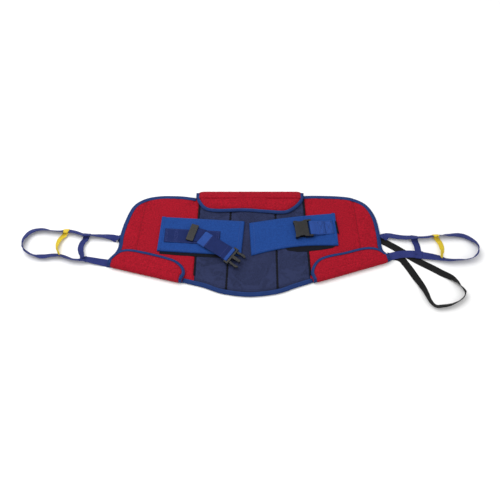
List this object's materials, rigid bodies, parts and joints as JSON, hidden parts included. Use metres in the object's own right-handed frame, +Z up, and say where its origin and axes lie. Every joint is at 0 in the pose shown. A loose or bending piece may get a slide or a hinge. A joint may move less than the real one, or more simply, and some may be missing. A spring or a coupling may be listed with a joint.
{
  "type": "stand-assist transfer sling",
  "caption": "Padded back sling laid open, with fold-over flaps, a two-part waist belt with side-release buckle, and webbing lifting loops.",
  "frame": {"origin": "centre of the underside of the upper load webbing, in the plane that the sling rests on", "axes": "+X across the body towards the female-buckle side, +Y towards the top flap, +Z up out of the padded face"},
  "size_m": [1.4006, 0.3992, 0.036],
  "materials": {
    "red_fabric": "matt coated woven nylon",
    "navy_mesh": "matt quilted spacer mesh",
    "shell_fabric": "matt coated woven nylon",
    "blue_fabric": "matt coated woven nylon",
    "blue_binding": "ribbed binding tape",
    "navy_webbing": "ribbed woven webbing",
    "yellow_webbing": "ribbed woven webbing",
    "black_webbing": "ribbed woven webbing",
    "black_plastic": "fine moulded acetal",
    "foam": "open-cell foam"
  },
  "bodies": {
    "sling_body": {"rear_webbing_upper": "navy_webbing", "rear_webbing_lower": "navy_webbing", "outer_shell": "shell_fabric", "left_foam": "foam", "center_foam": "foam", "right_foam": "foam", "left_lining": "red_fabric", "center_lining": "navy_mesh", "right_lining": "red_fabric", "left_edge_binding": "blue_binding", "right_edge_binding": "blue_binding", "bottom_edge_binding": "blue_binding"},
    "top_flap": {"top_flap_cover": "red_fabric", "top_flap_foam": "foam", "top_flap_binding": "blue_binding"},
    "left_flap": {"left_flap_cover": "red_fabric", "left_flap_foam": "foam", "left_flap_binding": "blue_binding"},
    "right_flap": {"right_flap_cover": "red_fabric", "right_flap_foam": "foam", "right_flap_binding": "blue_binding"},
    "left_belt": {"left_belt_cover": "blue_fabric", "left_belt_foam": "foam", "left_base_webbing": "navy_webbing", "strap_lower_layer": "navy_webbing"},
    "adjuster": {"strap_adjuster": "black_plastic", "strap_bight": "navy_webbing"},
    "tail": {"strap_tail": "navy_webbing"},
    "male_buckle": {"male_buckle": "black_plastic"},
    "left_prong": {"left_prong": "black_plastic"},
    "right_prong": {"right_prong": "black_plastic"},
    "right_belt": {"right_belt_cover": "blue_fabric", "right_belt_foam": "foam", "right_base_webbing": "navy_webbing", "buckle_loop": "navy_webbing"},
    "female_buckle": {"female_buckle": "black_plastic"},
    "left_loop": {"left_lifting_loop": "navy_webbing", "left_navy_rung": "navy_webbing", "left_yellow_rung": "yellow_webbing"},
    "right_loop": {"right_lifting_loop": "navy_webbing", "right_navy_rung": "navy_webbing", "right_yellow_rung": "yellow_webbing"},
    "carry_strap": {"carry_strap": "black_webbing"}
  },
  "joints": [
    {"name": "top_flap_fold", "type": "hinge", "parent": "sling_body", "child": "top_flap", "pos_m": [0, 0.177, 0.01235], "axis": [-1, 0, 0], "range_deg": [0, 170]},
    {"name": "left_flap_fold", "type": "hinge", "parent": "sling_body", "child": "left_flap", "pos_m": [-0.3167, -0.1015, 0.01235], "axis": [0.9699, -0.2435, 0], "range_deg": [0, 170]},
    {"name": "right_flap_fold", "type": "hinge", "parent": "sling_body", "child": "right_flap", "pos_m": [0.3065, -0.092, 0.01235], "axis": [0.9538, 0.3003, 0], "range_deg": [0, 170]},
    {"name": "left_belt_swing", "type": "hinge", "parent": "sling_body", "child": "left_belt", "pos_m": [-0.277, 0.034, 0.01235], "axis": [-0.0889, -0.996, 0], "range_deg": [0, 100]},
    {"name": "adjuster_slide", "type": "slide", "parent": "left_belt", "child": "adjuster", "axis": [0.95, -0.3123, 0], "range_m": [0, 0.008]},
    {"name": "tail_swing", "type": "hinge", "parent": "left_belt", "child": "tail", "pos_m": [-0.146, 0.013, 0.0286], "axis": [0.5764, 0.8171, 0], "range_deg": [-110, 0]},
    {"name": "male_buckle_swing", "type": "hinge", "parent": "tail", "child": "male_buckle", "pos_m": [-0.06102, -0.04695, 0.0266], "axis": [0.5764, 0.8171, 0], "range_deg": [-75, 0]},
    {"name": "left_prong_squeeze", "type": "hinge", "parent": "male_buckle", "child": "left_prong", "pos_m": [-0.03888, -0.03809, 0.0259], "axis": [-0.0428, 0.0302, -0.9986], "range_deg": [0, 8], "stiffness_Nm_per_rad": 0.05},
    {"name": "right_prong_squeeze", "type": "hinge", "parent": "male_buckle", "child": "right_prong", "pos_m": [-0.06194, -0.07077, 0.0259], "axis": [0.0428, -0.0302, 0.9986], "range_deg": [0, 8], "stiffness_Nm_per_rad": 0.05},
    {"name": "right_belt_swing", "type": "hinge", "parent": "sling_body", "child": "right_belt", "pos_m": [0.266, 0.05, 0.01235], "axis": [-0.0541, 0.9985, 0], "range_deg": [0, 100]},
    {"name": "female_buckle_swing", "type": "hinge", "parent": "right_belt", "child": "female_buckle", "pos_m": [0.18677, 0.04649, 0.0295], "axis": [0.1323, -0.9912, 0], "range_deg": [-90, 0]},
    {"name": "left_loop_swing", "type": "hinge", "parent": "sling_body", "child": "left_loop", "pos_m": [-0.4025, 0.03, 0.002], "axis": [-0.3846, -0.9231, 0], "range_deg": [-90, 0]},
    {"name": "right_loop_swing", "type": "hinge", "parent": "sling_body", "child": "right_loop", "pos_m": [0.4045, 0.038, 0.003], "axis": [-0.261, 0.9653, 0], "range_deg": [-90, 0]},
    {"name": "carry_strap_swivel", "type": "hinge", "parent": "sling_body", "child": "carry_strap", "pos_m": [0.408, 0, 0.001], "axis": [0, 0, 1], "range_deg": [-10, 5]}
  ],
  "couplings": [
    {"joint": "right_prong_squeeze", "follows": "left_prong_squeeze", "ratio": 1}
  ]
}
